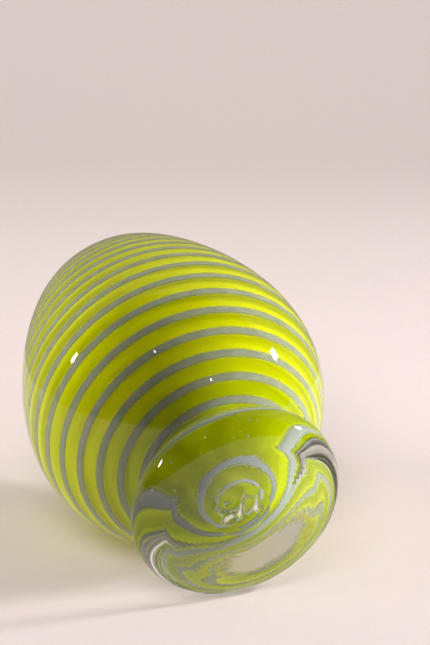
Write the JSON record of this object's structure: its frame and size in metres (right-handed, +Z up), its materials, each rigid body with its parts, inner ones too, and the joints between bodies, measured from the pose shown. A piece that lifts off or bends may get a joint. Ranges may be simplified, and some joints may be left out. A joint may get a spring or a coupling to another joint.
{
  "type": "glass vase",
  "caption": "Egg-shaped blown glass vase: lime bubble cased in clear glass with a wound grey spiral thread, short neck with a rounded lip, on a thick clear foot.",
  "frame": {"origin": "centre of the standing ring under the foot, on the surface that the vase stands on", "axes": "+Z up along the axis of the vase, from the foot to the lip; X and Y are free, because the vase is turned"},
  "size_m": [0.1122, 0.1122, 0.1595],
  "materials": {
    "lime_glass": "opaque lime-green glass, glossy inside",
    "clear_inner_glass": "clear glass, fused on both sides",
    "grey_glass": "opaque blue-grey glass, fused all round",
    "clear_outer_glass": "clear fire-polished glass",
    "clear_foot_glass": "clear glass, worn on the standing ring",
    "clear_scar_glass": "clear glass, broken off and remelted"
  },
  "bodies": {
    "root": {"lime_bubble": "lime_glass", "inner_casing": "clear_inner_glass", "grey_thread": "grey_glass", "outer_casing": "clear_outer_glass", "clear_foot": "clear_foot_glass", "pontil_scar": "clear_scar_glass"}
  },
  "joints": []
}
